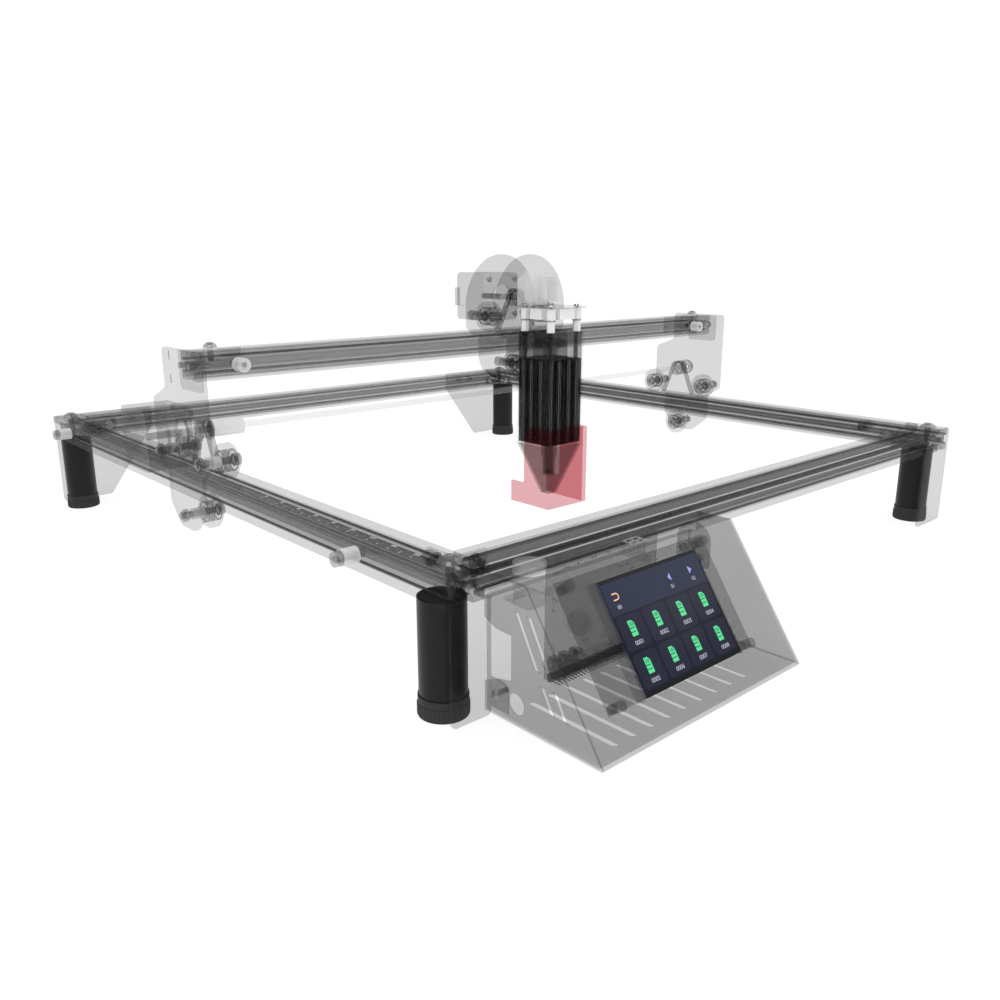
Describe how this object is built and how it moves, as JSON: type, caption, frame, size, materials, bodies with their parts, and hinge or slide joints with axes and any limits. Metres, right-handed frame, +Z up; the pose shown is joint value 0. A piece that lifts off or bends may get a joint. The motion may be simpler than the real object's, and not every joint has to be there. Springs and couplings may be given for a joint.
{
  "type": "desktop laser cutter",
  "caption": "Open-frame desktop laser cutter: slotted beams on round posts, a rolling gantry and carriage with a square laser head and tinted guard, and a wedge control box with a touch screen.",
  "frame": {"origin": "middle of the bounding box's base, on the surface the machine stands on", "axes": "+Z up, +Y from the control box at the front to the back, +X to the right as seen from the front"},
  "size_m": [0.6334, 0.685, 0.238],
  "materials": {
    "beam": "satin",
    "plate": "satin",
    "skirt": "satin",
    "post": "satin",
    "pad": "matte",
    "steel": "brushed",
    "bright": "satin",
    "stop": "matte",
    "belt": "matte",
    "sheet": "satin",
    "bezel": "gloss",
    "screen": "gloss",
    "board": "satin",
    "connector": "matte",
    "button": "gloss",
    "motor": "satin",
    "spacer": "matte",
    "wheel": "matte",
    "pulley": "satin",
    "coupling": "satin",
    "sink": "satin",
    "clear": "gloss",
    "fan": "matte",
    "nozzle": "gloss",
    "barrel": "satin",
    "shield": "gloss"
  },
  "bodies": {
    "frame": {"left_beam": "beam", "right_beam": "beam", "front_beam": "beam", "rear_beam": "beam", "foot_posts": "post", "foot_pads": "pad", "corner_brackets": "bright", "frame_bolts": "steel", "corner_plates": "skirt", "y_stop_sleeves": "stop", "y_belts": "belt", "belt_clamps": "stop", "box_side_walls": "sheet", "box_floor": "sheet", "box_front": "sheet", "screen_bezel": "bezel", "screen_glass": "screen", "circuit_boards": "board", "board_parts": "connector"},
    "button": {"power_button": "button"},
    "gantry": {"left_gantry_plate": "plate", "right_gantry_plate": "plate", "gantry_brackets": "plate", "gantry_beam": "beam", "gantry_bolts": "steel", "gantry_spacers": "spacer", "x_belt": "belt", "y_motor": "motor", "y_belt_arches": "belt", "shaft_bearing": "steel"},
    "y_drive": {"drive_shaft": "steel", "shaft_coupling": "coupling", "y_pulleys": "pulley"},
    "carriage": {"carriage_front_plate": "plate", "carriage_rear_plate": "plate", "carriage_bolts": "steel", "x_motor": "motor", "x_belt_arch": "belt"},
    "x_drive": {"x_pulley": "pulley"},
    "laser": {"heat_sink": "sink", "laser_sleeve": "clear", "fan_frame": "fan", "top_board": "board", "top_board_fittings": "connector", "laser_slider": "plate", "nozzle": "nozzle", "lens_barrel": "barrel", "cable_bracket": "plate"},
    "fan": {"fan_rotor": "fan"},
    "shield": {"laser_shield": "shield"},
    "y_wheel_left_front": {"y_wheel_left_front": "wheel"},
    "y_wheel_left_back": {"y_wheel_left_back": "wheel"},
    "y_wheel_left_lower": {"y_wheel_left_lower": "wheel"},
    "y_wheel_right_front": {"y_wheel_right_front": "wheel"},
    "y_wheel_right_back": {"y_wheel_right_back": "wheel"},
    "y_wheel_right_lower": {"y_wheel_right_lower": "wheel"},
    "x_wheel_left": {"x_wheel_left": "wheel"},
    "x_wheel_right": {"x_wheel_right": "wheel"},
    "x_wheel_lower": {"x_wheel_lower": "wheel"}
  },
  "joints": [
    {"name": "button_press", "type": "slide", "parent": "frame", "child": "button", "axis": [0, 0, -1], "range_m": [0, 0.0015], "stiffness_N_per_m": 400, "springref_m": -0.001},
    {"name": "gantry_slide", "type": "slide", "parent": "frame", "child": "gantry", "axis": [0, 1, 0], "range_m": [-0.1775, 0.2315]},
    {"name": "y_drive_spin", "type": "hinge", "parent": "gantry", "child": "y_drive", "pos_m": [0.0113, 0.0285, 0.116], "axis": [1, 0, 0], "range_deg": [-1467.3, 1912.5]},
    {"name": "carriage_slide", "type": "slide", "parent": "gantry", "child": "carriage", "axis": [1, 0, 0], "range_m": [-0.228, 0.2015]},
    {"name": "x_drive_spin", "type": "hinge", "parent": "carriage", "child": "x_drive", "pos_m": [0.0248, 0.013, 0.201], "axis": [0, 1, 0], "range_deg": [-1665.2, 1883.6]},
    {"name": "laser_height", "type": "slide", "parent": "carriage", "child": "laser", "axis": [0, 0, 1], "range_m": [-0.012, 0.035]},
    {"name": "fan_spin", "type": "hinge", "parent": "laser", "child": "fan", "pos_m": [0.0248, -0.0315, 0.16], "axis": [0, 0, 1], "continuous": true},
    {"name": "shield_height", "type": "slide", "parent": "laser", "child": "shield", "axis": [0, 0, 1], "range_m": [-0.009, 0]},
    {"name": "y_wheel_left_front_spin", "type": "hinge", "parent": "gantry", "child": "y_wheel_left_front", "pos_m": [-0.2672, -0.0045, 0.0986], "axis": [1, 0, 0], "range_deg": [-1147.4, 880.7]},
    {"name": "y_wheel_left_back_spin", "type": "hinge", "parent": "gantry", "child": "y_wheel_left_back", "pos_m": [-0.2672, 0.0615, 0.0986], "axis": [1, 0, 0], "range_deg": [-1147.4, 880.7]},
    {"name": "y_wheel_left_lower_spin", "type": "hinge", "parent": "gantry", "child": "y_wheel_left_lower", "pos_m": [-0.2672, 0.0285, 0.0554], "axis": [1, 0, 0], "range_deg": [-880.7, 1147.4]},
    {"name": "y_wheel_right_front_spin", "type": "hinge", "parent": "gantry", "child": "y_wheel_right_front", "pos_m": [0.2898, -0.0045, 0.0986], "axis": [1, 0, 0], "range_deg": [-1147.4, 880.7]},
    {"name": "y_wheel_right_back_spin", "type": "hinge", "parent": "gantry", "child": "y_wheel_right_back", "pos_m": [0.2898, 0.0615, 0.0986], "axis": [1, 0, 0], "range_deg": [-1147.4, 880.7]},
    {"name": "y_wheel_right_lower_spin", "type": "hinge", "parent": "gantry", "child": "y_wheel_right_lower", "pos_m": [0.2898, 0.0285, 0.0554], "axis": [1, 0, 0], "range_deg": [-880.7, 1147.4]},
    {"name": "x_wheel_left_spin", "type": "hinge", "parent": "carriage", "child": "x_wheel_left", "pos_m": [-0.0072, 0.013, 0.1856], "axis": [0, 1, 0], "range_deg": [-1130.2, 999.3]},
    {"name": "x_wheel_right_spin", "type": "hinge", "parent": "carriage", "child": "x_wheel_right", "pos_m": [0.0568, 0.013, 0.1856], "axis": [0, 1, 0], "range_deg": [-1130.2, 999.3]},
    {"name": "x_wheel_lower_spin", "type": "hinge", "parent": "carriage", "child": "x_wheel_lower", "pos_m": [0.0248, 0.013, 0.1424], "axis": [0, 1, 0], "range_deg": [-999.3, 1130.2]}
  ],
  "couplings": [
    {"joint": "y_drive_spin", "follows": "gantry_slide", "rad_per_m": 143.88},
    {"joint": "x_drive_spin", "follows": "carriage_slide", "rad_per_m": -143.88},
    {"joint": "y_wheel_left_front_spin", "follows": "gantry_slide", "rad_per_m": -86.207},
    {"joint": "y_wheel_left_back_spin", "follows": "gantry_slide", "rad_per_m": -86.207},
    {"joint": "y_wheel_left_lower_spin", "follows": "gantry_slide", "rad_per_m": 86.207},
    {"joint": "y_wheel_right_front_spin", "follows": "gantry_slide", "rad_per_m": -86.207},
    {"joint": "y_wheel_right_back_spin", "follows": "gantry_slide", "rad_per_m": -86.207},
    {"joint": "y_wheel_right_lower_spin", "follows": "gantry_slide", "rad_per_m": 86.207},
    {"joint": "x_wheel_left_spin", "follows": "carriage_slide", "rad_per_m": 86.207},
    {"joint": "x_wheel_right_spin", "follows": "carriage_slide", "rad_per_m": 86.207},
    {"joint": "x_wheel_lower_spin", "follows": "carriage_slide", "rad_per_m": -86.207}
  ]
}
